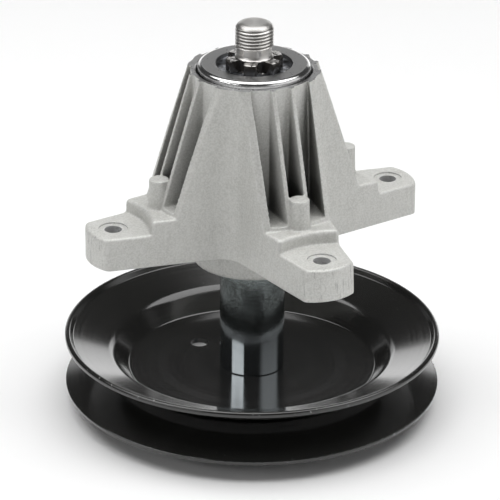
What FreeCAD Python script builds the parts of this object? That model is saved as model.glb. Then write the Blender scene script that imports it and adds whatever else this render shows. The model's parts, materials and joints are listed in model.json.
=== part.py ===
import FreeCAD, Part
import math
import os

# Deck spindle of a ride-on mower, blade end up.
# Millimetres and degrees. The shaft runs along +Z through the origin,
# and the pulley nut's lower face lies at z = 0, where the spindle stands.

# Ball bearings, two alike
bearing_bore = 17.0
bearing_outer = 40.0
bearing_width = 12.0
ball_diameter = 6.747
ball_count = 8
shoulder_gap = 4.0
race_slack = 0.2
ring_corner = 0.6
cage_sheet = 0.6
cage_band = 2.0
cage_bar = 1.6
seal_thickness = 1.0
seal_inset = 0.3
seal_seat = 1.1

# Clearances, radial unless a comment says otherwise
press_play = 0.01
ball_play = 0.08
cage_play = 0.25
seal_lip_play = 0.3
shaft_play = 0.3
collar_play = 0.6
collar_lift = 0.5      # axial, collar flange above the mouth's floor
drive_play = 0.05
nest_play = 0.1        # between the two pulley sheets on their sloping walls

# Shaft
stud_diameter = 15.875
stud_length = 10.2
stud_chamfer = 1.1
stud_point_run = 2.7   # inwards, of the blade end's long chamfer
stud_point_length = 2.2
neck_diameter = 14.2
neck_length = 4.6
star_points = 6
star_diameter = 23.8
star_tooth_width = 5.4
star_height = 5.0
star_chamfer = 0.9
star_angle = 41.0
drive_flats = 13.0
flat_run_out = 1.2
shaft_end_inset = 0.5

# Blade seat collar
collar_diameter = 47.2
collar_stand = 2.3
collar_edge_round = 1.8
collar_recess_diameter = 32.0
collar_recess_depth = 2.0

# Spacers
tube_diameter = 27.6
tube_length = 52.0
sleeve_diameter = 23.0

# Pulley
pulley_diameter = 160.0
pulley_sheet = 2.0
groove_half_angle = 17.0
dish_half_angle = 23.0
rim_lip = 2.0          # flat edge outside the dish's cone
rim_rise = 15.9        # upper rim above the web, between sheet middles
rim_spacing = 21.9     # upper rim above the lower rim, between sheet middles
web_diameter = 106.4
wall_run = 6.8         # outwards, of the dish's wall from the web to its shoulder
lower_ring_bore = 84.0
sheet_bend = 3.0
sheet_edge_round = 0.45
web_hole_diameter = 7.7
web_hole_circle = 59.5
web_hole_angle = 159.4

# Pulley nut
nut_height = 13.8
nut_sides = 6
nut_flats = 23.8
nut_flange_diameter = 33.0
nut_flange_edge = 1.5
nut_flange_height = 4.2
nut_chamfer_angle = 30.0

# Housing, upwards from the boss
lower_bearing_recess = 2.0
boss_diameter = 50.6
boss_length = 10.9
arm_height = 74.4
ear_thickness = 14.0
plateau_step = 5.8
pocket_sill = 1.6
collar_mouth_depth = 5.0
upper_bearing_recess = 0.5
bore_shoulder = 2.5
mouth_edge_round = 0.4
boss_edge_round = 1.0

# Housing, arms in plan
arm_count = 4
arm_angle = 45.0
hub_wall = 2.0
ear_reach = 74.8
ear_end_radius = 20.0
ear_disc_share = 0.8   # of the end radius: how far off the ear's middle its round end meets the plan's disc
ear_half_width = 12.5
arm_taper = 9.65
cove_radius = 11.0
cove_lean = 2.8
ear_corner_radius = 2.5
pad_edge_round = 1.4
bolt_inset = 10.8      # of a hole's middle from the end of its ear
bolt_hole_diameter = 7.2
spotface_diameter = 12.0
spotface_depth = 0.6
riser_distance = 50.0
riser_radius = 32.0
riser_head_round = 2.0
riser_foot_round = 0.8

# Housing, ribs, pockets and cast pins
rib_stand = 1.5        # of the ribs' upper ends out of the hub
rib_foot_diameter = 89.2
rib_middle = 4.25
rib_thickness = 1.8
arm_wall = 3.0
pin_circle = 86.4
pin_foot_diameter = 9.0
pin_top_diameter = 8.2
pin_height = 12.7
pin_edge_round = 0.4

# Drawing aids: how far a cut runs past what it cuts, the largest share of a side that a rounding takes,
# and the length or angle below which two things count as the same
overrun = 2.0
rounding_share = 0.48
same = 1e-4

# Heights that follow from the sizes above
web_base = nut_height
web_top = web_base + pulley_sheet
web_middle = web_base + pulley_sheet / 2
lower_bearing_base = web_top + tube_length
boss_base = lower_bearing_base - lower_bearing_recess
ear_base = boss_base + boss_length
pad_top = ear_base + ear_thickness
plateau_top = pad_top + plateau_step
pocket_floor = plateau_top + pocket_sill
housing_top = ear_base + arm_height
mouth_floor = housing_top - collar_mouth_depth
upper_bearing_base = mouth_floor - upper_bearing_recess - bearing_width
collar_base = upper_bearing_base + bearing_width
collar_top = housing_top + collar_stand
star_base = collar_top - collar_recess_depth
star_top = star_base + star_height
neck_top = star_top + neck_length
shaft_top = neck_top + stud_length

# Radii that follow from the sizes above
shaft_radius = bearing_bore / 2 - press_play
stud_radius = stud_diameter / 2
pitch_radius = (bearing_bore + bearing_outer) / 4
ball_radius = ball_diameter / 2
inner_shoulder = pitch_radius - shoulder_gap / 2
outer_shoulder = pitch_radius + shoulder_gap / 2
seal_radius = outer_shoulder + seal_seat
mouth_radius = collar_diameter / 2 + collar_play
hub_radius = mouth_radius + hub_wall
rib_top_radius = hub_radius + rib_stand
bolt_distance = ear_reach - bolt_inset

nodes = {}


def vector(x, y, z):
    return FreeCAD.Vector(x, y, z)


def turned(shape, angle):
    """A copy of the shape, turned about the shaft."""
    copy = shape.copy()
    copy.rotate(vector(0, 0, 0), vector(0, 0, 1), angle)
    return copy


def around(shape, count, first_angle):
    """Copies of the shape, evenly spaced about the shaft."""
    return [turned(shape, first_angle + i * 360.0 / count) for i in range(count)]


def cylinder(radius, low, high, x=0.0):
    return Part.makeCylinder(radius, high - low, vector(x, 0, low))


def rounded_wire(corners, place):
    """A closed outline. Each corner is (a, b, radius), and place turns (a, b) into a point."""
    edges = []
    arcs = []
    count = len(corners)
    for i, (a, b, radius) in enumerate(corners):
        previous = corners[i - 1]
        following = corners[(i + 1) % count]
        here = vector(a, b, 0)
        before = vector(previous[0], previous[1], 0) - here
        after = vector(following[0], following[1], 0) - here
        room = rounding_share * min(before.Length, after.Length)
        half = before.getAngle(after) / 2
        if radius <= 0 or abs(half - math.pi / 2) < same:
            arcs.append((here, None, here))
            continue
        reach = min(radius / math.tan(half), room)
        radius = reach * math.tan(half)
        before.normalize()
        after.normalize()
        middle = before + after
        middle.normalize()
        crown = here + middle * (radius / math.sin(half) - radius)
        arcs.append((here + before * reach, crown, here + after * reach))
    for i, (start, crown, end) in enumerate(arcs):
        if crown is not None:
            edges.append(Part.Arc(place(start), place(crown), place(end)).toShape())
        next_start = arcs[(i + 1) % count][0]
        if (next_start - end).Length > same:
            edges.append(Part.LineSegment(place(end), place(next_start)).toShape())
    return Part.Wire(edges)


def turned_solid(corners):
    """A solid turned about the shaft, from corners (radius, height, rounding)."""
    outline = rounded_wire(corners, lambda p: vector(p.x, 0, p.y))
    return Part.Face(outline).revolve(vector(0, 0, 0), vector(0, 0, 1), 360)


def plan_face(corners, height):
    """A flat face at a height, from corners (x, y, rounding)."""
    return Part.Face(rounded_wire(corners, lambda p: vector(p.x, p.y, height)))


def ring(inner, outer, low, high, corner=0.0):
    """A ring of square section between two radii and two heights."""
    places = [(inner, low), (outer, low), (outer, high), (inner, high)]
    return turned_solid([(radius, height, corner) for radius, height in places])


def rounded(shape, radius, wanted):
    """The shape with the wanted edges rounded."""
    return shape.makeFillet(radius, [edge for edge in shape.Edges if wanted(edge)])


def at_height(edge, height):
    return all(abs(v.Z - height) < same for v in edge.Vertexes)


def all_beyond(edge, distance):
    """Whether each end of the edge lies farther from the shaft than the distance."""
    return all(math.hypot(v.X, v.Y) > distance for v in edge.Vertexes)


def bearing(name, base):
    """Outer ring, inner ring, balls, cage and two seals of one bearing, on its lower face."""
    top = base + bearing_width
    middle = base + bearing_width / 2
    race_radius = ball_radius + race_slack
    race_shift = race_slack - ball_play
    seat = seal_thickness + seal_inset

    inner = ring(bearing_bore / 2, inner_shoulder, base, top, ring_corner / 2)
    inner_race = Part.makeTorus(pitch_radius + race_shift, race_radius, vector(0, 0, middle))
    nodes[name + "_inner_ring"] = inner.cut(inner_race)

    outer = turned_solid([
        (seal_radius, base, 0),
        (bearing_outer / 2, base, ring_corner),
        (bearing_outer / 2, top, ring_corner),
        (seal_radius, top, 0),
        (seal_radius, top - seat, 0),
        (outer_shoulder, top - seat, 0),
        (outer_shoulder, base + seat, 0),
        (seal_radius, base + seat, 0),
    ])
    outer_race = Part.makeTorus(pitch_radius - race_shift, race_radius, vector(0, 0, middle))
    nodes[name + "_outer_ring"] = outer.cut(outer_race)

    ball = Part.makeSphere(ball_radius, vector(pitch_radius, 0, middle))
    nodes[name + "_balls"] = Part.makeCompound(around(ball, ball_count, 0))

    # The cage is a short tube about each ball and a flat bar between neighbouring tubes.
    pocket_radius = ball_radius + cage_play
    outward = vector(1, 0, 0)
    tube_start = vector(pitch_radius - cage_band / 2, 0, middle)
    tube = Part.makeCylinder(pocket_radius + cage_sheet, cage_band, tube_start, outward)
    pocket = Part.makeCylinder(pocket_radius, cage_band, tube_start, outward)
    half_step = 180.0 / ball_count
    bar_length = 2 * (pitch_radius * math.sin(math.radians(half_step)) - pocket_radius)
    bar_inner = pitch_radius - cage_bar / 2 - cage_sheet / 2
    bar_corner = vector(bar_inner, -bar_length / 2, middle - cage_sheet)
    bar = Part.makeBox(cage_bar, bar_length, 2 * cage_sheet, bar_corner)
    pieces = around(tube, ball_count, 0) + around(bar, ball_count, half_step)
    room_low = base + seat + cage_play
    room_high = top - seat - cage_play
    room = ring(inner_shoulder + cage_play, outer_shoulder - cage_play, room_low, room_high)
    cage = pieces[0].fuse(pieces[1:]).cut(around(pocket, ball_count, 0))
    nodes[name + "_cage"] = cage.common(room).removeSplitter()

    lip = inner_shoulder + seal_lip_play
    edge = seal_radius - press_play
    low_face = base + seal_inset
    high_face = top - seal_inset
    nodes[name + "_bottom_seal"] = ring(lip, edge, low_face, low_face + seal_thickness)
    nodes[name + "_top_seal"] = ring(lip, edge, high_face - seal_thickness, high_face)


def spacers():
    """The sleeve between the inner rings, and the tube between the pulley and the lower bearing."""
    sleeve_base = lower_bearing_base + bearing_width
    bore = shaft_radius + shaft_play
    nodes["bearing_spacer_sleeve"] = ring(bore, sleeve_diameter / 2, sleeve_base, upper_bearing_base)

    # The tube's nose is coned, so that it presses on the inner ring alone.
    nose_radius = inner_shoulder - seal_lip_play
    nose_length = tube_diameter / 2 - nose_radius
    nodes["pulley_spacer_tube"] = turned_solid([
        (bore, web_top, 0),
        (tube_diameter / 2, web_top, sheet_edge_round),
        (tube_diameter / 2, lower_bearing_base - nose_length, 0),
        (nose_radius, lower_bearing_base, 0),
        (bore, lower_bearing_base, 0),
    ])


def collar():
    """The turned disc under the blade, in the housing's mouth."""
    bore = shaft_radius + press_play
    hub = inner_shoulder - seal_lip_play
    edge = collar_diameter / 2
    recess = collar_recess_diameter / 2
    flange_base = mouth_floor + collar_lift
    nodes["blade_seat_collar"] = turned_solid([
        (bore, collar_base, 0),
        (hub, collar_base, 0),
        (hub, flange_base, 0),
        (edge, flange_base, mouth_edge_round),
        (edge, collar_top, collar_edge_round),
        (recess, collar_top, mouth_edge_round / 2),
        (recess, star_base, mouth_edge_round),
        (bore, star_base, 0),
    ])


def shaft():
    """One turned bar: pulley end, bearing seats, star for the blade, neck and blade stud."""
    shoulder = web_top + flat_run_out
    bar = turned_solid([
        (0, shaft_end_inset, 0),
        (stud_radius - stud_chamfer, shaft_end_inset, 0),
        (stud_radius, shaft_end_inset + stud_chamfer, 0),
        (stud_radius, shoulder, 0),
        (shaft_radius, shoulder, 0),
        (shaft_radius, star_base, 0),
        (neck_diameter / 2, star_base, 0),
        (neck_diameter / 2, neck_top, 0),
        (stud_radius, neck_top, 0),
        (stud_radius, shaft_top - stud_point_length, 0),
        (stud_radius - stud_point_run, shaft_top, 0),
        (0, shaft_top, 0),
    ])

    # Two flats at the lower end carry the pulley's drive.
    flat = drive_flats / 2
    side = Part.makeBox(bearing_bore, bearing_bore, shoulder, vector(-bearing_bore / 2, flat, 0))
    bar = bar.cut([side, turned(side, 180)])

    # Each tooth of the star is a straight bar from the neck, with a round outer end.
    star_radius = star_diameter / 2
    tooth_corner = vector(0, -star_tooth_width / 2, star_base)
    tooth = Part.makeBox(star_radius, star_tooth_width, star_height, tooth_corner)
    reach = turned_solid([
        (neck_diameter / 4, star_base, 0),
        (star_radius, star_base, 0),
        (star_radius, star_top, star_chamfer),
        (neck_diameter / 4, star_top, 0),
    ])
    teeth = around(tooth.common(reach), star_points, star_angle)
    nodes["spindle_shaft"] = bar.fuse(teeth).removeSplitter()


def drive_hole(low, high):
    """The pulley's centre hole, round with two flats."""
    hole = cylinder(stud_radius + drive_play, low, high)
    width = drive_flats + 2 * drive_play
    slab_corner = vector(-stud_diameter, -width / 2, low)
    slab = Part.makeBox(2 * stud_diameter, width, high - low, slab_corner)
    return hole.common(slab)


def crossing(start, along, other, other_along):
    """Where two lines in the section plane meet, each given by a point and a direction."""
    gap = other - start
    cross = along.x * other_along.y - along.y * other_along.x
    return start + along * ((gap.x * other_along.y - gap.y * other_along.x) / cross)


def sheet_solid(path, inner_round):
    """A turned sheet whose middle follows the path of (radius, height) points."""
    half = pulley_sheet / 2
    steps = [(path[i + 1] - path[i]).normalize() for i in range(len(path) - 1)]
    upper = []
    lower = []
    for i, point in enumerate(path):
        before = steps[max(i - 1, 0)]
        after = steps[min(i, len(steps) - 1)]
        normal = vector(-before.y - after.y, before.x + after.x, 0)
        normal.normalize()
        reach = half / (normal.x * -after.y + normal.y * after.x)
        turn = before.x * after.y - before.y * after.x
        inside = sheet_bend
        outside = sheet_bend + pulley_sheet
        over, under = (inside, outside) if turn > 0 else (outside, inside)
        if i == 0:
            over = under = inner_round
        if i == len(path) - 1:
            over = under = sheet_edge_round
        top = point + normal * reach
        foot = point - normal * reach
        upper.append((top.x, top.y, over))
        lower.append((foot.x, foot.y, under))
    return turned_solid(upper + lower[::-1])


def pulley():
    """Upper dish with its web, and the lower ring that closes the belt groove."""
    slope = math.tan(math.radians(groove_half_angle))
    rim = pulley_diameter / 2 - pulley_sheet / 2 * math.sin(math.radians(groove_half_angle))
    shoulder = web_diameter / 2 + wall_run
    upper_rim = vector(pulley_diameter / 2, web_middle + rim_rise, 0)
    upper_lip = vector(upper_rim.x - rim_lip, upper_rim.y, 0)
    dish_slope = math.tan(math.radians(dish_half_angle))
    upper_shoulder = vector(shoulder, upper_lip.y - (upper_lip.x - shoulder) * dish_slope, 0)
    upper_foot = vector(web_diameter / 2, web_middle, 0)
    dish = sheet_solid([vector(0, web_middle, 0), upper_foot, upper_shoulder, upper_lip, upper_rim], 0)
    low = web_base - overrun
    high = web_top + overrun
    web_hole = cylinder(web_hole_diameter / 2, low, high, web_hole_circle / 2)
    nodes["pulley_upper_flange"] = dish.cut([drive_hole(low, high), turned(web_hole, web_hole_angle)])

    # The lower sheet lies under the web and its wall, then falls away to its own rim.
    wall = (upper_shoulder - upper_foot).normalize()
    nest = pulley_sheet + nest_play
    wall_point = upper_foot + vector(wall.y, -wall.x, 0) * nest
    flat_height = web_middle - pulley_sheet
    lower_rim = vector(rim, upper_rim.y - rim_spacing, 0)
    lower_foot = crossing(vector(0, flat_height, 0), vector(1, 0, 0), wall_point, wall)
    crest = crossing(lower_rim, vector(-1, slope, 0), wall_point, wall)
    start = vector(lower_ring_bore / 2, flat_height, 0)
    nodes["pulley_lower_flange"] = sheet_solid([start, lower_foot, crest, lower_rim], sheet_edge_round)


def nut():
    """Hexagon nut with a round flange against the pulley's web."""
    hex_radius = nut_flats / 2 / math.cos(math.pi / nut_sides)
    corners = []
    for i in range(nut_sides):
        angle = 2 * math.pi * i / nut_sides
        corners.append((hex_radius * math.cos(angle), hex_radius * math.sin(angle), 0))
    hexagon = plan_face(corners, 0).extrude(vector(0, 0, nut_height))
    fall = (hex_radius - nut_flats / 2) * math.tan(math.radians(nut_chamfer_angle))
    chamfer = turned_solid([
        (0, 0, 0),
        (nut_flats / 2, 0, 0),
        (hex_radius, fall, 0),
        (hex_radius, nut_height, 0),
        (0, nut_height, 0),
    ])
    flange = turned_solid([
        (0, nut_height, 0),
        (nut_flange_diameter / 2, nut_height, 0),
        (nut_flange_diameter / 2, nut_height - nut_flange_edge, 0),
        (nut_flats / 2, nut_height - nut_flange_height, 0),
        (0, nut_height - nut_flange_height, 0),
    ])
    bore = stud_radius + press_play
    thread_hole = turned_solid([
        (0, 0, 0),
        (bore + stud_chamfer, 0, 0),
        (bore, stud_chamfer, 0),
        (bore, nut_height, 0),
        (0, nut_height, 0),
    ])
    nodes["pulley_nut"] = hexagon.common(chamfer).fuse(flange).cut(thread_hole).removeSplitter()


def arm_half_width(distance, height):
    """Half the width of an arm, at a distance from the shaft and a height."""
    taper = math.tan(math.radians(arm_taper))
    lean = math.tan(math.radians(cove_lean)) * (1 + taper) / math.sqrt(2)
    return ear_half_width + (bolt_distance - distance) * taper - (height - ear_base) * lean


def coves():
    """The spaces between neighbouring arms: wedges with a round apex that lean inwards."""
    taper = math.tan(math.radians(arm_taper))
    meeting = arm_half_width(0, ear_base) / (1 + taper) * math.sqrt(2)
    far = ear_reach
    spread = far * math.tan(math.radians(180.0 / arm_count + arm_taper))
    wedge = plan_face([
        (meeting, 0, cove_radius),
        (meeting + far, spread, 0),
        (meeting + far, -spread, 0),
    ], ear_base)
    lean = math.tan(math.radians(cove_lean))
    wedge.translate(vector(lean * overrun, 0, -overrun))
    height = arm_height + 2 * overrun
    cove = wedge.extrude(vector(-lean * height, 0, height))
    return around(cove, arm_count, arm_angle + 180.0 / arm_count)


def ear_limit():
    """The outer reach of the housing in plan: a disc and a round end for each ear."""
    centre = ear_reach - ear_end_radius
    meeting = ear_end_radius * ear_disc_share
    disc = cylinder(math.hypot(centre, meeting), ear_base, housing_top)
    end = cylinder(ear_end_radius, ear_base, housing_top, centre)
    return disc.fuse(around(end, arm_count, arm_angle))


def ear_pads():
    """What is cut away above each ear: a hollow with a curved riser at its inner side."""
    lip = riser_radius + 2 * riser_head_round
    hollow = turned_solid([
        (0, pad_top, 0),
        (riser_radius, pad_top, riser_foot_round),
        (riser_radius, plateau_top, riser_head_round),
        (lip, plateau_top, 0),
        (lip, plateau_top + overrun, 0),
        (0, plateau_top + overrun, 0),
    ])
    hollow.translate(vector(riser_distance + riser_radius, 0, 0))
    return around(hollow, arm_count, arm_angle)


def rib_pockets():
    """Three tall pockets in each arm, which leave two ribs and the arm's two outer walls."""
    start = hub_radius / 2
    end = rib_foot_diameter / 2 + overrun
    rib_inner = rib_middle - rib_thickness / 2
    rib_outer = rib_middle + rib_thickness / 2
    top = housing_top + overrun
    middle_corner = vector(start, -rib_inner, pocket_floor)
    pockets = [Part.makeBox(end - start, 2 * rib_inner, top - pocket_floor, middle_corner)]
    for side in (1, -1):
        outlines = []
        for height in (pocket_floor, top):
            corners = [
                (start, side * rib_outer, 0),
                (end, side * rib_outer, 0),
                (end, side * (arm_half_width(end, height) - arm_wall), 0),
                (start, side * (arm_half_width(start, height) - arm_wall), 0),
            ]
            outlines.append(rounded_wire(corners, lambda p, z=height: vector(p.x, p.y, z)))
        pockets.append(Part.makeLoft(outlines, True, True))
    return [copy for pocket in pockets for copy in around(pocket, arm_count, arm_angle)]


def cast_pins():
    """A short drafted pin on each arm's plateau, at the foot of the ribs."""
    sink = overrun
    pin = turned_solid([
        (0, plateau_top - sink, 0),
        (pin_foot_diameter / 2, plateau_top - sink, 0),
        (pin_foot_diameter / 2, plateau_top, 0),
        (pin_top_diameter / 2, plateau_top + pin_height, pin_edge_round),
        (0, plateau_top + pin_height, 0),
    ])
    pin.translate(vector(pin_circle / 2, 0, 0))
    return around(pin, arm_count, arm_angle)


def housing_bores():
    """The stepped bore for the collar and the bearings, through the whole housing."""
    seat = bearing_outer / 2 + press_play
    waist = bearing_outer / 2 - bore_shoulder
    return turned_solid([
        (0, boss_base - overrun, 0),
        (seat, boss_base - overrun, 0),
        (seat, lower_bearing_base + bearing_width, 0),
        (waist, lower_bearing_base + bearing_width, 0),
        (waist, upper_bearing_base, 0),
        (seat, upper_bearing_base, 0),
        (seat, mouth_floor, 0),
        (mouth_radius, mouth_floor, mouth_edge_round),
        (mouth_radius, housing_top + overrun, 0),
        (0, housing_top + overrun, 0),
    ])


def bolt_holes():
    """A through hole and a shallow spotface in each ear."""
    hole = cylinder(bolt_hole_diameter / 2, ear_base - overrun, pad_top + overrun, bolt_distance)
    face = cylinder(spotface_diameter / 2, pad_top - spotface_depth, pad_top + overrun, bolt_distance)
    return around(hole.fuse(face), arm_count, arm_angle)


def housing():
    """The casting: four ribbed arms with ears about a hub, and the boss below."""
    rough = turned_solid([
        (0, ear_base, 0),
        (ear_reach + overrun, ear_base, 0),
        (ear_reach + overrun, plateau_top, 0),
        (rib_foot_diameter / 2, plateau_top, 0),
        (rib_top_radius, housing_top, 0),
        (0, housing_top, 0),
    ])
    arms = rough.cut(coves()).common(ear_limit())
    corner_distance = ear_reach - ear_end_radius / 2

    def is_ear_corner(edge):
        return all_beyond(edge, corner_distance) and edge.BoundBox.ZLength > ear_thickness

    arms = rounded(arms, ear_corner_radius, is_ear_corner)
    arms = arms.cut(ear_pads())

    def is_pad_edge(edge):
        return at_height(edge, pad_top) and all_beyond(edge, riser_distance)

    arms = rounded(arms, pad_edge_round, is_pad_edge)
    arms = arms.cut(rib_pockets())
    core = turned_solid([
        (0, boss_base, 0),
        (boss_diameter / 2, boss_base, boss_edge_round),
        (boss_diameter / 2, ear_base, 0),
        (hub_radius, ear_base, 0),
        (hub_radius, housing_top, 0),
        (0, housing_top, 0),
    ])
    casting = arms.fuse([core] + cast_pins())
    nodes["spindle_housing"] = casting.cut([housing_bores()] + bolt_holes()).removeSplitter()


housing()
bearing("upper_bearing", upper_bearing_base)
bearing("lower_bearing", lower_bearing_base)
spacers()
collar()
shaft()
pulley()
nut()

os.makedirs("parts", exist_ok=True)
for node_name, shape in nodes.items():
    shape.exportStep("parts/" + node_name + ".step")
    print(node_name, len(shape.Solids), shape.isValid(), round(shape.Volume))
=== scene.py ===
import json
import math

import bpy
from mathutils import Matrix, Vector


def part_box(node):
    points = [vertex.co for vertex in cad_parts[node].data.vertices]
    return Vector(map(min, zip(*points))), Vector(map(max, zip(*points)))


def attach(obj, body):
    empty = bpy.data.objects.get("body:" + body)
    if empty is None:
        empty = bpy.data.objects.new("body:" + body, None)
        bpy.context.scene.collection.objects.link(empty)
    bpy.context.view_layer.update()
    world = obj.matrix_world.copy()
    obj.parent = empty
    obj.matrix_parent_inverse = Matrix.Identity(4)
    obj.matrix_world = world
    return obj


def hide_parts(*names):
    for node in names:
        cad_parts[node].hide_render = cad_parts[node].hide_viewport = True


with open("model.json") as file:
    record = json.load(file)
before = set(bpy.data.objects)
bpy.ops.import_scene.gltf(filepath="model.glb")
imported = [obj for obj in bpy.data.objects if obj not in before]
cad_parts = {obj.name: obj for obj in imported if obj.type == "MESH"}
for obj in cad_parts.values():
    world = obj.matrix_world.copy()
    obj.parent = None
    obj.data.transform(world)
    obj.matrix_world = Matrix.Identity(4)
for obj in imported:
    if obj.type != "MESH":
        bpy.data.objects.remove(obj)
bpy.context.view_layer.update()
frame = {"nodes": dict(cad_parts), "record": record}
nodes = frame["nodes"]

# Lengths are in metres and stated angles in degrees. The shaft stands along +Z through the origin.
mm = 0.001

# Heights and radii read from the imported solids
housing_low, housing_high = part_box("spindle_housing")
collar_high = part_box("blade_seat_collar")[1]
upper_bearing_low, upper_bearing_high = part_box("upper_bearing_outer_ring")
housing_top = housing_high.z
boss_base = housing_low.z
shaft_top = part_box("spindle_shaft")[1].z
collar_top = collar_high.z
collar_radius = collar_high.x
tube_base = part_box("pulley_spacer_tube")[0].z
bearing_radius = upper_bearing_high.x
upper_seat_base = upper_bearing_low.z
lower_seat_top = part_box("lower_bearing_outer_ring")[1].z

# Casting
ear_base = boss_base + 10.9 * mm
pad_top = ear_base + 14.0 * mm
mouth_radius = collar_radius + 0.6 * mm
mouth_floor = housing_top - 5.0 * mm
mouth_chamfer = 0.5 * mm
seat_radius = bearing_radius + 0.01 * mm
waist_radius = bearing_radius - 2.5 * mm
bolt_distance = 64.0 * mm
bolt_hole_radius = 3.6 * mm
spotface_radius = 6.0 * mm
spotface_floor = pad_top - 0.6 * mm
ear_angles = [45.0, 135.0, 225.0, 315.0]
bore_sides = 192

# Soft cast edges: the grid for smoothing, the rounds of it and the share of faces kept. Meanwhile extra
# height stands on the top, and the bore and the bolt holes are filled.
cast_grid = 0.45 * mm
cast_rounds = 3
cast_face_share = 0.2
top_stock = 3.0 * mm
bore_filling_radius = mouth_radius + 0.5 * mm
hole_filling_radius = spotface_radius + 0.4 * mm

# Blade stud. The thread's crest and flank are shares of half its pitch.
stud_radius = 7.9375 * mm
stud_base = shaft_top - 10.2 * mm
star_top = stud_base - 4.6 * mm
stud_joint = star_top - 0.1 * mm
neck_radius = 7.1 * mm
flare_radius = 8.0 * mm
end_length = 2.2 * mm
end_radius = 3.5 * mm
end_bluntness = 4
end_rings = [2.4 * mm, 1.6 * mm, 0.8 * mm, 0.3 * mm, 0]
thread_pitch = 25.4 / 18 * mm
thread_depth = 0.78 * mm
thread_crest = 0.14
thread_flank = 0.76
thread_steps = 16
stud_sides = 144

# Pulley dish, with its outline as radius, height over the web's base and rounding in millimetres
web_base = tube_base - 2.0 * mm
rim_radius = 80.0 * mm
web_hole_radius = 3.85 * mm
web_hole_distance = 29.75 * mm
web_hole_angle = 159.4
drive_hole_radius = 7.99 * mm
drive_hole_flats = 13.1 * mm
dish_sides = 224
dish_corners = [
    (0, 2.0, 0),
    (52.73, 2.0, 1.6),
    (59.61, 10.36, 7.5),
    (76.5, 16.01, 1.0),
    (77.9, 18.25, 1.0),
    (80.0, 18.25, 1.1),
    (80.0, 15.7, 1.0),
    (78.7, 15.7, 0.8),
    (77.3, 14.17, 1.5),
    (60.79, 8.64, 5.5),
    (53.67, 0, 5.0),
    (0, 0, 0),
]

# Mesh work. Cutters reach past the faces that they cut.
merge_distance = 1e-6
cut_tolerance = 1e-7
housing_cutter_reach = 2 * mm
web_cutter_reach = 1 * mm
rod_sides = 96
arc_steps = 7

# Camera, fitted to the pulley's two rims
camera_place = Vector((398.447, -1150.646, 618.311)) * mm
camera_aim = Vector((-1.075, -0.372, 68.68)) * mm
camera_roll = 0.4435
camera_lens = 227.424
camera_bearing = math.atan2(camera_place.y, camera_place.x)

# Stage
lamp_aim = Vector((0, 0, 0.08))
floor_width = 14


def leave_edit():
    """Goes back to object mode."""
    if bpy.context.object and bpy.context.object.mode != "OBJECT":
        bpy.ops.object.mode_set(mode="OBJECT")


def only(piece):
    """Makes the piece the one that is selected and active."""
    leave_edit()
    bpy.ops.object.select_all(action="DESELECT")
    bpy.context.view_layer.objects.active = piece
    piece.select_set(True)


def edit(piece, selected):
    """Opens the piece in edit mode, with everything or nothing selected."""
    only(piece)
    bpy.ops.object.mode_set(mode="EDIT")
    bpy.ops.mesh.select_all(action="SELECT" if selected else "DESELECT")


def select_faces(piece, wanted):
    """Opens the piece in edit mode, with the faces selected whose centre and normal are wanted."""
    edit(piece, selected=False)
    bpy.ops.mesh.select_mode(type="FACE")
    leave_edit()
    for face in piece.data.polygons:
        face.select = wanted(face.center, face.normal)
    bpy.ops.object.mode_set(mode="EDIT")


def merge(piece):
    """Joins doubled corners and turns every face outwards."""
    edit(piece, selected=True)
    bpy.ops.mesh.remove_doubles(threshold=merge_distance)
    bpy.ops.mesh.normals_make_consistent(inside=False)
    leave_edit()


def modify(piece, kind, **settings):
    """Adds a modifier with its settings and applies it."""
    only(piece)
    modifier = piece.modifiers.new(kind.lower(), kind)
    for name, value in settings.items():
        setattr(modifier, name, value)
    bpy.ops.object.modifier_apply(modifier=modifier.name)


def combine(piece, other, operation):
    """Cuts the other closed mesh from the piece or adds it, and removes it."""
    modify(piece, "BOOLEAN", operation=operation, solver="MANIFOLD", object=other)
    bpy.data.objects.remove(other)


def cut_off(piece, place, normal):
    """Removes what lies beyond a plane and closes the cut."""
    edit(piece, selected=True)
    bpy.ops.mesh.bisect(plane_co=place, plane_no=normal, use_fill=True, clear_outer=True,
                        threshold=cut_tolerance)
    leave_edit()


def cut_above(piece, height):
    """Removes what stands above a height and closes the cut."""
    cut_off(piece, (0, 0, height), (0, 0, 1))


def join(piece, others):
    """Takes other pieces into the piece."""
    only(piece)
    for other in others:
        other.select_set(True)
    bpy.ops.object.join()


def coat(piece, *materials):
    """Gives the piece these materials alone."""
    piece.data.materials.clear()
    for material in materials:
        piece.data.materials.append(material)


def new_object(name, data):
    """A new object in the scene, with its mesh, camera or lamp."""
    made = bpy.data.objects.new(name, data)
    bpy.context.scene.collection.objects.link(made)
    return made


def copy_of(node, name):
    """A new object with a merged copy of a node's mesh."""
    piece = new_object(name, nodes[node].data.copy())
    coat(piece)
    merge(piece)
    return piece


def turned(name, outline, sides):
    """A closed mesh turned about the shaft from (radius, height) points that start and end on the axis."""
    mesh = bpy.data.meshes.new(name)
    edges = [(i, i + 1) for i in range(len(outline) - 1)]
    mesh.from_pydata([(radius, 0, height) for radius, height in outline], edges, [])
    piece = new_object(name, mesh)
    edit(piece, selected=True)
    bpy.ops.mesh.spin(steps=sides, angle=math.tau, center=(0, 0, 0), axis=(0, 0, 1))
    merge(piece)
    return piece


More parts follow.
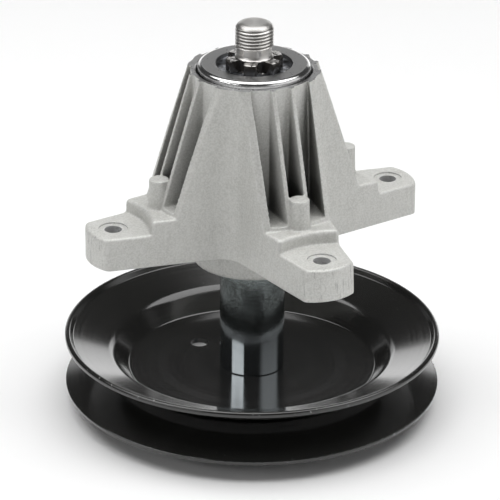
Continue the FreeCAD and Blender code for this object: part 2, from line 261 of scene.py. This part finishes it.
def rounded(corners):
    """Outline points, with an arc at each (radius, height, rounding) corner that has a rounding."""
    points = []
    for i, (radius, height, rounding) in enumerate(corners):
        corner = Vector((radius, height))
        if rounding == 0:
            points.append(tuple(corner))
            continue
        before = (Vector(corners[i - 1][:2]) - corner).normalized()
        after = (Vector(corners[i + 1][:2]) - corner).normalized()
        half = before.angle(after) / 2
        middle = corner + (before + after).normalized() * rounding / math.sin(half)
        start = (corner + before * rounding / math.tan(half) - middle).normalized()
        end = (corner + after * rounding / math.tan(half) - middle).normalized()
        for step in range(arc_steps + 1):
            points.append(tuple(middle + start.slerp(end, step / arc_steps).normalized() * rounding))
    return points


def rod(name, radius, low, high, place=(0, 0)):
    """A closed round rod between two heights, at a place in plan."""
    leave_edit()
    bpy.ops.object.select_all(action="DESELECT")
    middle = (place[0], place[1], (low + high) / 2)
    bpy.ops.mesh.primitive_cylinder_add(vertices=rod_sides, radius=radius, depth=high - low,
                                        location=middle)
    piece = bpy.context.object
    piece.name = name
    bpy.ops.object.transform_apply(location=True, rotation=True, scale=True)
    return piece


def drill(piece, radius, low, high, place):
    """Cuts a round hole between two heights."""
    combine(piece, rod("drill", radius, low, high, place), "DIFFERENCE")


def on_circle(radius, angle):
    """A place in plan, at an angle round the shaft."""
    turn = math.radians(angle)
    return radius * math.cos(turn), radius * math.sin(turn)


def finish_piece(piece, body, node, smooth_angle):
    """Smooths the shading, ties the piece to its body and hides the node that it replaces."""
    only(piece)
    bpy.ops.object.shade_smooth_by_angle(angle=math.radians(smooth_angle))
    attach(piece, body)
    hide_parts(node)


class Pattern:
    """Nodes that work out a value from a place or a direction."""

    def __init__(self, tree, coordinates):
        self.tree = tree
        self.place = tree.nodes.new("ShaderNodeTexCoord").outputs[coordinates]

    def node(self, kind, **settings):
        """A new node with its settings."""
        made = self.tree.nodes.new(kind)
        for name, value in settings.items():
            setattr(made, name, value)
        return made

    def plug(self, value, socket):
        """Links a socket to an input, or writes a plain value there."""
        if isinstance(value, bpy.types.NodeSocket):
            self.tree.links.new(value, socket)
        else:
            socket.default_value = value

    def calc(self, operation, first, second=0.0):
        """One step of arithmetic."""
        made = self.node("ShaderNodeMath", operation=operation)
        self.plug(first, made.inputs[0])
        self.plug(second, made.inputs[1])
        return made.outputs[0]

    def times(self, first, second):
        return self.calc("MULTIPLY", first, second)

    def span(self, value, low, high, start=0.0, end=1.0):
        """Maps a value from low..high to start..end, smoothly and clamped."""
        made = self.node("ShaderNodeMapRange", interpolation_type="SMOOTHSTEP")
        for socket, given in zip(made.inputs, (value, low, high, start, end)):
            self.plug(given, socket)
        return made.outputs["Result"]

    def between(self, share, start, end):
        """A value between two others, for a share of 0 to 1."""
        return self.span(share, 0.0, 1.0, start, end)

    def mix(self, share, first, second):
        """A colour between two others."""
        made = self.node("ShaderNodeMix", data_type="RGBA")
        self.plug(share, made.inputs["Factor"])
        self.plug(first, made.inputs["A"])
        self.plug(second, made.inputs["B"])
        return made.outputs["Result"]

    def noise_at(self, places, scale, detail, rough):
        """Noise at any places, with its features scaled down."""
        texture = self.node("ShaderNodeTexNoise")
        self.plug(places, texture.inputs["Vector"])
        self.plug(scale, texture.inputs["Scale"])
        self.plug(detail, texture.inputs["Detail"])
        self.plug(rough, texture.inputs["Roughness"])
        return texture.outputs["Fac"]

    def noise(self, size, detail=2.0, rough=0.5):
        """Noise with features of that size."""
        return self.noise_at(self.place, 1 / size, detail, rough)

    def streaky_noise(self, sizes, detail, rough=0.5):
        """Noise with features of other sizes along X, Y and Z."""
        mapping = self.node("ShaderNodeMapping")
        self.plug(self.place, mapping.inputs["Vector"])
        self.plug([1 / size for size in sizes], mapping.inputs["Scale"])
        return self.noise_at(mapping.outputs["Vector"], 1.0, detail, rough)

    def rings(self, spacing):
        """Noise in rings round the shaft, which changes with radius and height only."""
        made = self.node("ShaderNodeCombineXYZ")
        self.plug(self.calc("DIVIDE", self.radius(), spacing), made.inputs[0])
        self.plug(self.calc("DIVIDE", self.height(), spacing), made.inputs[1])
        return self.noise_at(made.outputs[0], scale=1.0, detail=3.0, rough=0.5)

    def flecks(self, size):
        """Distance to the nearest of many scattered points, in units of their spacing."""
        texture = self.node("ShaderNodeTexVoronoi")
        self.plug(self.place, texture.inputs["Vector"])
        self.plug(1 / size, texture.inputs["Scale"])
        return texture.outputs["Distance"]

    def along(self, direction):
        """How far a place lies along a direction."""
        made = self.node("ShaderNodeVectorMath", operation="DOT_PRODUCT")
        self.plug(self.place, made.inputs[0])
        self.plug(direction, made.inputs[1])
        return made.outputs["Value"]

    def height(self):
        """Height of a place, or the upward share of a direction."""
        split = self.node("ShaderNodeSeparateXYZ")
        self.plug(self.place, split.inputs[0])
        return split.outputs["Z"]

    def radius(self):
        """Distance from the shaft's axis."""
        flat = self.node("ShaderNodeVectorMath", operation="MULTIPLY")
        self.plug(self.place, flat.inputs[0])
        self.plug((1, 1, 0), flat.inputs[1])
        length = self.node("ShaderNodeVectorMath", operation="LENGTH")
        self.plug(flat.outputs[0], length.inputs[0])
        return length.outputs["Value"]

    def above(self, low, high):
        """1 above these heights, 0 below them."""
        return self.span(self.height(), low, high)

    def below(self, low, high):
        """1 below these heights, 0 above them."""
        return self.span(self.height(), low, high, 1.0, 0.0)

    def outside(self, low, high):
        """1 outside these radii, 0 inside them."""
        return self.span(self.radius(), low, high)

    def inside(self, low, high):
        """1 inside these radii, 0 outside them."""
        return self.span(self.radius(), low, high, 1.0, 0.0)

    def convex_edges(self, low, high):
        """1 on convex edges, 0 elsewhere."""
        return self.span(self.node("ShaderNodeNewGeometry").outputs["Pointiness"], low, high)

    def open_sky(self, distance):
        """1 where a surface is open, 0 deep in a recess."""
        made = self.node("ShaderNodeAmbientOcclusion", samples=8, only_local=True)
        self.plug(distance, made.inputs["Distance"])
        return made.outputs["AO"]

    def upright(self):
        """1 on faces that look sideways or down, 0 on faces that look up."""
        split = self.node("ShaderNodeSeparateXYZ")
        self.plug(self.node("ShaderNodeNewGeometry").outputs["True Normal"], split.inputs[0])
        return self.span(split.outputs["Z"], 0.45, 0.75, 1.0, 0.0)


class Finish(Pattern):
    """A material of one shader, with patterns that read Object coordinates."""

    def __init__(self, name, **sockets):
        self.material = bpy.data.materials.new(name)
        self.material.use_nodes = True
        super().__init__(self.material.node_tree, "Object")
        self.shader = self.tree.nodes["Principled BSDF"]
        for socket, value in sockets.items():
            self.plug(value, self.shader.inputs[socket.replace("_", " ")])

    def colour(self, value):
        self.plug(value, self.shader.inputs["Base Color"])

    def rough(self, value):
        self.plug(value, self.shader.inputs["Roughness"])

    def metal(self, value):
        self.plug(value, self.shader.inputs["Metallic"])

    def bump(self, height, depth, strength):
        """Relief of that depth. A second call lies over the first."""
        made = self.node("ShaderNodeBump")
        self.plug(strength, made.inputs["Strength"])
        self.plug(depth, made.inputs["Distance"])
        self.plug(height, made.inputs["Height"])
        before = self.shader.inputs["Normal"].links
        if before:
            self.plug(before[0].from_socket, made.inputs["Normal"])
        self.plug(made.outputs["Normal"], self.shader.inputs["Normal"])

    def round_grain(self, amount):
        """Stretches highlights across fine turning marks about the shaft."""
        quarter_turn = 0.25
        tangent = self.node("ShaderNodeTangent", direction_type="RADIAL", axis="Z")
        self.plug(amount, self.shader.inputs["Anisotropic"])
        self.plug(quarter_turn, self.shader.inputs["Anisotropic Rotation"])
        self.plug(tangent.outputs[0], self.shader.inputs["Tangent"])


def grey(value, red=0.0, blue=0.0):
    """A near grey, with a little more red or blue."""
    return (value + red, value, value + blue, 1.0)


def cast_aluminium():
    """Matt die casting: fine grain, soft clouds, faint upright streaks and scuffs on the ears' ends, with
    painted shade deep in recesses and a painted highlight on convex edges.
    """
    finish = Finish("cast_aluminium", Metallic=0.35)
    clouds = finish.noise(7 * mm, detail=4.0)
    streaks = finish.streaky_noise((1.6 * mm, 1.6 * mm, 14 * mm), detail=3.0)
    grain = finish.noise(0.8 * mm, detail=3.0, rough=0.65)
    scuffs = finish.streaky_noise((0.9 * mm, 0.9 * mm, 9 * mm), detail=4.0, rough=0.65)
    ear_end = finish.outside(bolt_distance + 4 * mm, bolt_distance + 9 * mm)
    scuffs = finish.times(finish.span(scuffs, 0.56, 0.68), ear_end)
    # Painted shade: faces deep in a recess are painted near black, open faces keep their tone.
    clear_of_painted_shade = finish.span(finish.open_sky(14 * mm), 0.05, 0.50)
    tone = finish.mix(clouds, grey(0.48, blue=-0.026), grey(0.61, blue=-0.028))
    tone = finish.mix(finish.span(streaks, 0.38, 0.72, 0.0, 0.25), tone, grey(0.42, blue=-0.022))
    tone = finish.mix(finish.span(grain, 0.34, 0.66, 0.0, 0.7), tone, grey(0.71, blue=-0.022))
    tone = finish.mix(finish.times(scuffs, 0.55), tone, grey(0.16))
    # Painted highlight: convex edges are painted paler.
    tone = finish.mix(finish.times(finish.convex_edges(0.52, 0.62), 0.5), tone, grey(0.78))
    finish.colour(finish.mix(clear_of_painted_shade, grey(0.05, blue=-0.006), tone))
    finish.rough(finish.span(grain, 0.25, 0.75, 0.48, 0.62))
    finish.bump(clouds, depth=0.10 * mm, strength=0.25)
    finish.bump(grain, depth=0.06 * mm, strength=0.4)
    return finish.material


def machined_aluminium():
    """Turned and bored faces of the casting, which are paler and less metallic out on the ears."""
    finish = Finish("machined_aluminium")
    marks = finish.rings(0.18 * mm)
    smears = finish.noise(3 * mm, detail=3.0)
    on_ear = finish.outside(40 * mm, 50 * mm)
    tone = finish.mix(marks, grey(0.30), grey(0.44))
    tone = finish.mix(finish.span(smears, 0.45, 0.75, 0.0, 0.35), tone, grey(0.22))
    finish.colour(finish.mix(on_ear, tone, grey(0.55)))
    finish.metal(finish.between(on_ear, 0.85, 0.2))
    finish.rough(finish.span(smears, 0.3, 0.7, 0.24, 0.36))
    finish.bump(marks, depth=0.02 * mm, strength=0.4)
    finish.round_grain(0.6)
    return finish.material


def bright_steel():
    """Turned stud, darker in the thread's roots, with a star below it that is dark on grease smears and on
    every face that looks sideways or down.
    """
    finish = Finish("bright_steel", Metallic=1.0)
    marks = finish.rings(0.12 * mm)
    smears = finish.noise(1.6 * mm, detail=4.0, rough=0.6)
    tone = finish.mix(marks, grey(0.54, 0.014, -0.020), grey(0.74, 0.014, -0.020))
    faced = finish.above(shaft_top - 1.6 * mm, shaft_top - 0.5 * mm)
    tone = finish.mix(finish.times(faced, 0.5), tone, grey(0.40, 0.008, -0.012))
    on_stud = finish.above(stud_base - 0.1 * mm, stud_base + 0.3 * mm)
    below_end = finish.below(shaft_top - 1.9 * mm, shaft_top - 1.4 * mm)
    # The thread's roots are painted darker.
    root = finish.inside(stud_radius - thread_depth, stud_radius - 0.35 * thread_depth)
    root = finish.times(finish.times(root, on_stud), below_end)
    tone = finish.mix(finish.times(root, 0.7), tone, grey(0.10, 0.01, -0.01))
    on_star = finish.below(star_top + 0.1 * mm, star_top + 0.5 * mm)
    # The star is dark on grease smears and on every face that looks sideways or down.
    sides_and_smears = finish.calc("MAXIMUM", finish.upright(), finish.span(smears, 0.48, 0.62))
    film = finish.times(on_star, finish.between(sides_and_smears, 0.08, 0.97))
    finish.colour(finish.mix(film, tone, grey(0.010, 0.003, -0.002)))
    finish.metal(finish.span(film, 0.2, 0.9, 1.0, 0.0))
    finish.rough(finish.between(film, finish.between(faced, 0.34, 0.42), 0.20))
    finish.bump(marks, depth=0.02 * mm, strength=0.35)
    lumps = finish.times(finish.noise(1.3 * mm), on_star)
    finish.bump(lumps, depth=0.30 * mm, strength=0.6)
    finish.round_grain(0.55)
    return finish.material


def turned_steel():
    """Collar: dark turned face, bright polished shoulder, oily mottled recess."""
    finish = Finish("turned_steel", Metallic=1.0)
    marks = finish.rings(0.15 * mm)
    smears = finish.noise(2.2 * mm, detail=4.0, rough=0.6)
    tone = finish.mix(marks, grey(0.25), grey(0.36))
    shoulder = finish.outside(collar_radius - 2.1 * mm, collar_radius - 1.5 * mm)
    tone = finish.mix(shoulder, tone, grey(0.66))
    recess = finish.below(collar_top - 1.7 * mm, collar_top - 0.5 * mm)
    recess = finish.times(recess, finish.inside(15.5 * mm, 16.2 * mm))
    oil = finish.mix(finish.span(smears, 0.36, 0.60), grey(0.12), grey(0.50, -0.02, 0.04))
    finish.colour(finish.mix(recess, tone, oil))
    dull = finish.span(smears, 0.3, 0.7, 0.27, 0.36)
    finish.rough(finish.between(shoulder, dull, 0.18))
    finish.bump(marks, depth=0.02 * mm, strength=0.4)
    finish.bump(finish.times(smears, recess), depth=0.35 * mm, strength=0.6)
    finish.round_grain(0.65)
    return finish.material


def zinc_plate():
    """Bright plating: mirror smooth towards the pulley, frosty and speckled towards the bearing."""
    finish = Finish("zinc_plate", Metallic=1.0)
    clouds = finish.noise(5 * mm, detail=4.0, rough=0.6)
    speckle = finish.noise(0.8 * mm, detail=3.0, rough=0.65)
    wander = 12 * mm
    ragged = finish.calc("ADD", finish.times(clouds, wander), finish.times(speckle, wander))
    rise = finish.calc("ADD", finish.height(), ragged)
    frost = finish.span(rise, tube_base + 27 * mm, tube_base + 44 * mm)
    tone = finish.mix(clouds, grey(0.54, -0.045, 0.022), grey(0.68, -0.055, 0.028))
    dark = finish.span(speckle, 0.36, 0.64)
    spots = finish.mix(dark, grey(0.42, -0.05, -0.004), grey(0.14, -0.008, -0.004))
    pale = finish.span(finish.noise(7 * mm, detail=3.0), 0.45, 0.70, 0.0, 0.6)
    spots = finish.mix(pale, spots, grey(0.48, -0.05, 0.004))
    finish.colour(finish.mix(frost, tone, spots))
    finish.rough(finish.between(frost, 0.08, 0.17))
    finish.bump(finish.times(speckle, frost), depth=0.06 * mm, strength=0.5)
    return finish.material


def black_enamel():
    """Gloss black paint over spun sheet: faint rings, slight waviness, dust and a few chips on the rims."""
    finish = Finish("black_enamel", IOR=1.5, Coat_Weight=0.6, Coat_Roughness=0.08)
    marks = finish.rings(1.4 * mm)
    waves = finish.noise(9 * mm)
    dust = finish.span(finish.flecks(3.2 * mm), 0.035, 0.075, 1.0, 0.0)
    dust = finish.times(dust, finish.span(finish.noise(14 * mm), 0.48, 0.60))
    chips = finish.span(finish.noise(1.3 * mm, detail=3.0, rough=0.65), 0.66, 0.72)
    chips = finish.times(chips, finish.outside(rim_radius - 1.4 * mm, rim_radius - 0.8 * mm))
    tone = finish.mix(waves, grey(0.012, blue=-0.001), grey(0.017, blue=-0.001))
    tone = finish.mix(finish.times(dust, 0.5), tone, grey(0.20))
    finish.colour(finish.mix(chips, tone, grey(0.42)))
    finish.rough(finish.span(marks, 0.3, 0.7, 0.13, 0.19))
    finish.bump(marks, depth=0.03 * mm, strength=0.22)
    finish.bump(waves, depth=0.06 * mm, strength=0.12)
    return finish.material


def bearing_steel():
    """Ground rings and balls."""
    finish = Finish("bearing_steel", Metallic=1.0)
    marks = finish.rings(0.10 * mm)
    smears = finish.noise(2 * mm, detail=3.0)
    finish.colour(finish.mix(marks, grey(0.58), grey(0.72)))
    finish.rough(finish.span(smears, 0.3, 0.7, 0.12, 0.22))
    finish.bump(marks, depth=0.01 * mm, strength=0.3)
    return finish.material


def plain_steel():
    """Oiled steel of the hidden pieces."""
    finish = Finish("plain_steel", Metallic=1.0)
    marks = finish.rings(0.25 * mm)
    smears = finish.noise(2.5 * mm, detail=4.0, rough=0.6)
    tone = finish.mix(marks, grey(0.40, 0.004, -0.006), grey(0.54, 0.004, -0.006))
    oiled = finish.span(smears, 0.5, 0.7, 0.0, 0.4)
    finish.colour(finish.mix(oiled, tone, grey(0.24, 0.006, -0.008)))
    finish.rough(finish.span(smears, 0.3, 0.7, 0.30, 0.45))
    finish.bump(marks, depth=0.02 * mm, strength=0.4)
    return finish.material


def seal_rubber():
    """Dusty black rubber of the bearings' seals."""
    finish = Finish("seal_rubber")
    grain = finish.noise(0.4 * mm, detail=3.0)
    dust = finish.noise(2.5 * mm, detail=4.0, rough=0.6)
    finish.colour(finish.mix(finish.span(dust, 0.45, 0.75), grey(0.020), grey(0.050, 0.004, -0.003)))
    finish.rough(finish.span(grain, 0.3, 0.7, 0.50, 0.66))
    finish.bump(grain, depth=0.03 * mm, strength=0.4)
    return finish.material


finishes = {
    "cast_aluminium": cast_aluminium(),
    "bright_steel": bright_steel(),
    "turned_steel": turned_steel(),
    "zinc_plate": zinc_plate(),
    "plain_steel": plain_steel(),
    "bearing_steel": bearing_steel(),
    "seal_rubber": seal_rubber(),
    "black_enamel": black_enamel(),
}
machined = machined_aluminium()
bolt_places = [on_circle(bolt_distance, angle) for angle in ear_angles]


def dress_solids():
    """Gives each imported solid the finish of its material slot."""
    for part in frame["record"]["subparts"]:
        coat(nodes[part["node"]], finishes[part["material_slot"]])


def is_top(place, normal):
    """Whether a face of the plain solid lies in the housing's top, from its centre and its normal."""
    return normal.z > 0.99 and place.z > housing_top - 0.1 * mm


def is_machined(place, normal):
    """Whether a face of the casting was turned, bored or drilled. Small margins take in sloping strips."""
    radius = math.hypot(place.x, place.y)
    in_mouth = radius < mouth_radius + 2 * mouth_chamfer and place.z > mouth_floor - 1 * mm
    on_top = place.z > housing_top - 0.02 * mm
    in_bore = radius < bearing_radius + 0.2 * mm
    off_hole = min(math.hypot(place.x - x, place.y - y) for x, y in bolt_places)
    in_hole = off_hole < spotface_radius + 0.05 * mm and abs(normal.z) < 0.5
    return in_mouth or on_top or in_bore or in_hole


def soften_edges(piece):
    """Gives the housing the soft edges and corners of a casting before it is machined."""
    select_faces(piece, is_top)
    bpy.ops.mesh.extrude_region_move(TRANSFORM_OT_translate={"value": (0, 0, top_stock)})
    fillings = [rod("bore_filling", bore_filling_radius, boss_base, housing_top + top_stock)]
    for place in bolt_places:
        fillings.append(rod("hole_filling", hole_filling_radius, ear_base, pad_top, place))
    join(piece, fillings)
    modify(piece, "REMESH", mode="VOXEL", voxel_size=cast_grid, use_smooth_shade=True)
    modify(piece, "SMOOTH", factor=0.5, iterations=cast_rounds)
    modify(piece, "DECIMATE", ratio=cast_face_share)


def machine(piece):
    """Cuts the top face, the stepped bore and the bolt holes."""
    cut_above(piece, housing_top)
    past = housing_cutter_reach
    bore = turned("bore_cutter", [
        (0, boss_base - past),
        (seat_radius, boss_base - past),
        (seat_radius, lower_seat_top),
        (waist_radius, lower_seat_top),
        (waist_radius, upper_seat_base),
        (seat_radius, upper_seat_base),
        (seat_radius, mouth_floor),
        (mouth_radius, mouth_floor),
        (mouth_radius, housing_top - mouth_chamfer),
        (mouth_radius + mouth_chamfer + past, housing_top + past),
        (0, housing_top + past),
    ], bore_sides)
    combine(piece, bore, "DIFFERENCE")
    for place in bolt_places:
        drill(piece, bolt_hole_radius, ear_base - past, pad_top + past, place)
        drill(piece, spotface_radius, spotface_floor, pad_top + past, place)


def casting():
    """The housing, with soft cast edges and crisp machined faces."""
    piece = copy_of("spindle_housing", "housing_casting")
    soften_edges(piece)
    machine(piece)
    coat(piece, finishes["cast_aluminium"], machined)
    for face in piece.data.polygons:
        face.material_index = int(is_machined(face.center, face.normal))
    finish_piece(piece, "housing", "spindle_housing", smooth_angle=32)


def thread_radius(angle, height):
    """Radius of a right-hand thread at an angle in radians and a height."""
    turn = (height / thread_pitch - angle / math.tau) % 1.0
    off_crest = abs(turn - 0.5) * 2
    cut = min(max((off_crest - thread_crest) / thread_flank, 0.0), 1.0)
    return stud_radius - thread_depth * cut


def stud():
    """The blade stud, with its flared foot, its neck, its thread and its rounded end."""
    outline = [
        (0, star_top - 1.2 * mm),
        (neck_radius - 0.1 * mm, star_top - 1.2 * mm),
        (flare_radius, star_top - 0.2 * mm),
        (flare_radius, star_top + 0.1 * mm),
        (flare_radius - 0.35 * mm, star_top + 0.45 * mm),
        (neck_radius + 0.1 * mm, star_top + 0.9 * mm),
        (neck_radius, star_top + 1.3 * mm),
        (neck_radius + 0.2 * mm, stud_base - 0.25 * mm),
    ]
    length = shaft_top - end_length - stud_base
    rows = round(length / (thread_pitch / thread_steps))
    outline += [(stud_radius, stud_base + length * i / rows) for i in range(rows)]
    rows = 2 * thread_steps
    for i in range(rows + 1):
        out = 1 - i / rows
        radius = end_radius + (stud_radius - end_radius) * out
        outline.append((radius, shaft_top - end_length * out ** end_bluntness))
    outline += [(radius, shaft_top) for radius in end_rings]
    piece = turned("stud", outline, stud_sides)

    # The thread is pressed into the plain stud.
    for corner in piece.data.vertices:
        radius = math.hypot(corner.co.x, corner.co.y)
        if corner.co.z > stud_base - 0.1 * mm and radius > stud_radius - thread_depth:
            angle = math.atan2(corner.co.y, corner.co.x)
            share = min(1.0, thread_radius(angle, corner.co.z) / radius)
            corner.co.x *= share
            corner.co.y *= share
    return piece


def shaft():
    """The spindle shaft, with the real thread on its blade stud."""
    piece = copy_of("spindle_shaft", "threaded_shaft")
    cut_above(piece, stud_joint)
    combine(piece, stud(), "UNION")
    coat(piece, finishes["bright_steel"])
    finish_piece(piece, "rotor", "spindle_shaft", smooth_angle=28)


def dish():
    """The pulley's upper flange: web, wall with a soft shoulder, shallow cone and the bead of its rim."""
    outline = rounded([(x * mm, web_base + z * mm, arc * mm) for x, z, arc in dish_corners])
    piece = turned("pulley_dish", outline, dish_sides)
    low = web_base - web_cutter_reach
    high = tube_base + web_cutter_reach
    drive = rod("drive_cutter", drive_hole_radius, low, high)
    for side in (1, -1):
        cut_off(drive, (0, side * drive_hole_flats / 2, 0), (0, side, 0))
    combine(piece, drive, "DIFFERENCE")
    drill(piece, web_hole_radius, low, high, on_circle(web_hole_distance, web_hole_angle))
    merge(piece)
    coat(piece, finishes["black_enamel"])
    finish_piece(piece, "rotor", "pulley_upper_flange", smooth_angle=35)


def floor():
    """A pale floor for the shadow. Under the pulley it glows, to look pale through the web's hole."""
    bpy.ops.object.select_all(action="DESELECT")
    bpy.ops.mesh.primitive_plane_add(size=floor_width, location=(0, 0, 0))
    plane = bpy.context.object
    plane.name = "floor"
    finish = Finish("floor_paper", Roughness=0.85, Emission_Color=grey(1.0))
    finish.colour(finish.mix(finish.noise(0.4), grey(0.93), grey(0.95)))
    seen = finish.node("ShaderNodeLightPath").outputs
    seen = finish.calc("MAXIMUM", seen["Is Camera Ray"], seen["Is Glossy Ray"])
    under = finish.span(finish.radius(), 50 * mm, 60 * mm, 0.30, 0.0)
    finish.plug(finish.times(seen, under), finish.shader.inputs["Emission Strength"])
    coat(plane, finish.material)


def camera():
    """The camera at the photograph's place."""
    data = bpy.data.cameras.new("camera")
    data.sensor_width = 36
    data.lens = camera_lens
    data.clip_end = 50
    eye = new_object("camera", data)
    look = (camera_aim - camera_place).to_track_quat("-Z", "Y").to_matrix().to_4x4()
    roll = Matrix.Rotation(math.radians(camera_roll), 4, "Z")
    eye.matrix_world = Matrix.Translation(camera_place) @ look @ roll
    bpy.context.scene.camera = eye


def softbox(name, bearing, elevation, distance, width, height, radiance):
    """A rectangular lamp aimed at the object. Its bearing counts from the camera's side, to the right."""
    lamp = bpy.data.lights.new(name, "AREA")
    lamp.shape = "RECTANGLE"
    lamp.size = width
    lamp.size_y = height
    lamp.energy = math.pi * width * height * radiance
    box = new_object(name, lamp)
    turn = camera_bearing + math.radians(bearing)
    lift = math.radians(elevation)
    away = Vector((math.cos(turn) * math.cos(lift), math.sin(turn) * math.cos(lift), math.sin(lift)))
    look = (-away).to_track_quat("-Z", "Y").to_matrix().to_4x4()
    box.matrix_world = Matrix.Translation(lamp_aim + away * distance) @ look
    box.visible_camera = False


def studio():
    """A white backdrop behind, a dim room before it, a pale wall on the right, and soft boxes."""
    world = bpy.data.worlds.new("surround")
    bpy.context.scene.world = world
    world.use_nodes = True
    sky = Pattern(world.node_tree, "Generated")
    ahead = Vector((-camera_place.x, -camera_place.y, 0)).normalized()
    right = Vector((ahead.y, -ahead.x, 0))
    up = sky.height()
    level = sky.calc("SQRT", sky.calc("SUBTRACT", 1.0, sky.times(up, up)))
    behind = sky.span(sky.calc("DIVIDE", sky.along(ahead), level), 0.88, 0.94)
    backdrop = sky.times(behind, sky.span(up, 0.27, 0.37, 1.0, 0.0))
    backdrop = sky.calc("MAXIMUM", backdrop, sky.span(up, 0.08, 0.26, 0.12, 0.0))
    pale_wall = sky.span(sky.along(right), 0.35, 0.65)
    pale_wall = sky.times(pale_wall, sky.span(sky.along(ahead), 0.05, 0.35, 1.0, 0.0))
    pale_wall = sky.times(pale_wall, sky.span(up, 0.42, 0.58, 1.0, 0.0))
    ceiling = sky.span(up, 0.82, 0.95, 0.045, 0.3)
    light = sky.calc("ADD", sky.calc("MAXIMUM", backdrop, pale_wall), ceiling)
    glow = world.node_tree.nodes["Background"]
    sky.plug(grey(1.0), glow.inputs["Color"])
    sky.plug(light, glow.inputs["Strength"])

    softbox("overhead_box", bearing=180, elevation=87, distance=1.2, width=2.6, height=1.2, radiance=2.7)
    softbox("left_strip", bearing=-52, elevation=25, distance=1.3, width=1.0, height=0.14, radiance=5.0)
    softbox("backdrop_glow", bearing=174, elevation=10, distance=1.9, width=1.5, height=0.5, radiance=0.8)


dress_solids()
casting()
shaft()
dish()
floor()
camera()
studio()
bpy.context.scene.view_settings.view_transform = "Standard"
